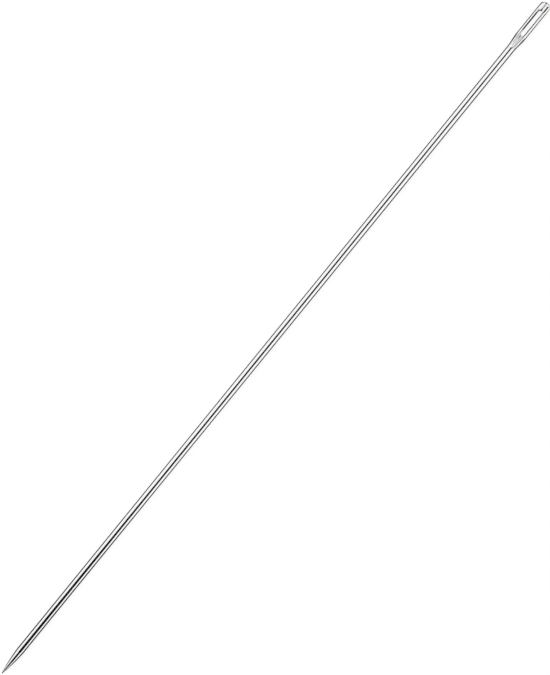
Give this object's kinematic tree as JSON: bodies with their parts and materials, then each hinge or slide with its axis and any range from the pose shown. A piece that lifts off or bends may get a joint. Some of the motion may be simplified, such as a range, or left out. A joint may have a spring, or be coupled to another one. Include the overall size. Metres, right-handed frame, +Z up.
{
  "type": "upholstery needle",
  "caption": "Long straight steel hand needle with a round point, a flat pressed head and a long slotted eye with thread gutters.",
  "frame": {"origin": "middle of the footprint on the surface that the shaft lies on, halfway along the needle", "axes": "+X along the wire from the point to the eye, +Y across the flats of the head, +Z up through the eye"},
  "size_m": [0.254, 0.0032, 0.0024],
  "materials": {
    "polished_steel": "polished bright nickel-plated steel, with matt ground gutters"
  },
  "bodies": {
    "root": {"needle": "polished_steel"}
  },
  "joints": []
}
